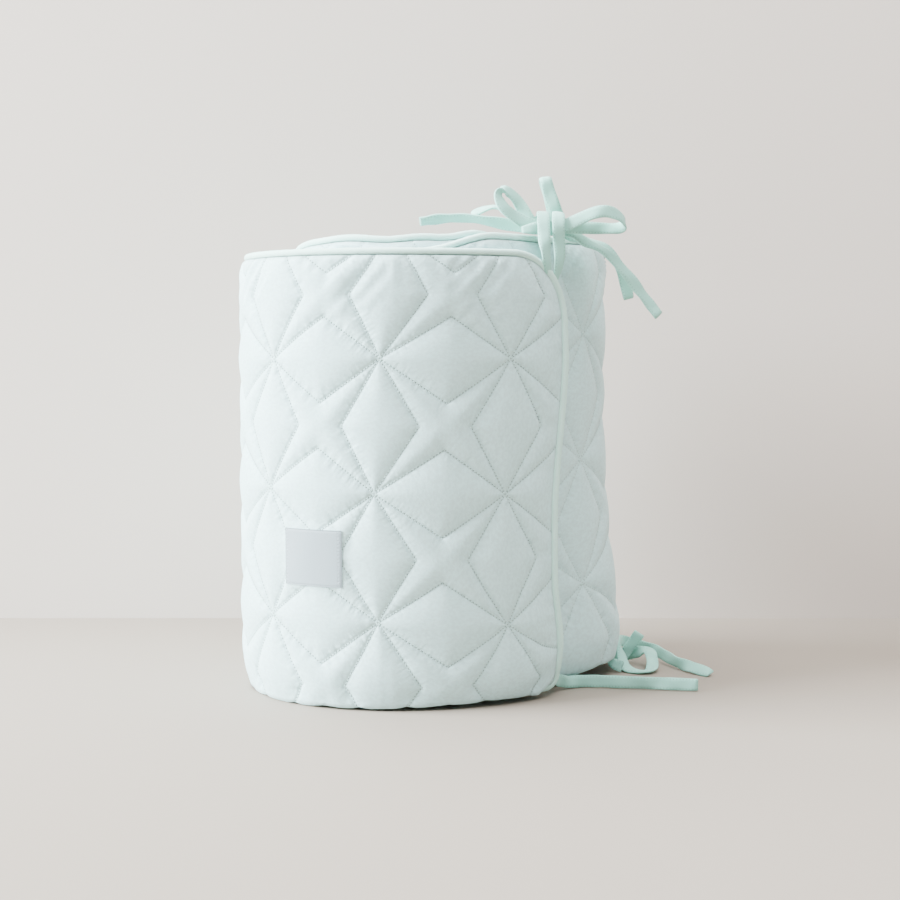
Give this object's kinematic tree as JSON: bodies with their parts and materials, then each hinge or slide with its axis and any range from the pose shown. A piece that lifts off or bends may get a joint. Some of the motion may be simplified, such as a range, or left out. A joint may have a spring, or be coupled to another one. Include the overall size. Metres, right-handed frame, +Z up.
{
  "type": "crib bumper",
  "caption": "Long quilted crib bumper pad with a corded edge, wound into an upright roll and held by tied cloth ties.",
  "frame": {"origin": "on the floor, below the middle of the object's bounding box", "axes": "+Z up along the pad's height, the free end of the pad at the front right (-Y, +X)"},
  "size_m": [0.3381, 0.25, 0.3506],
  "materials": {
    "quilted_cotton": "matt pale mint cotton, machine quilted",
    "piping_cotton": "matt mint cotton, corded piping",
    "tie_cotton": "matt mint cotton, folded and edge-stitched",
    "label_weave": "satin white woven label"
  },
  "bodies": {
    "root": {"quilted_panel": "quilted_cotton", "edge_piping": "piping_cotton", "woven_label": "label_weave", "top_tie_left": "tie_cotton", "top_tie_right": "tie_cotton", "top_tie_bow": "tie_cotton", "top_tie_standing": "tie_cotton", "hem_tie_front": "tie_cotton", "hem_tie_upright": "tie_cotton", "hem_tie_loop": "tie_cotton", "hem_tie_short": "tie_cotton"}
  },
  "joints": []
}
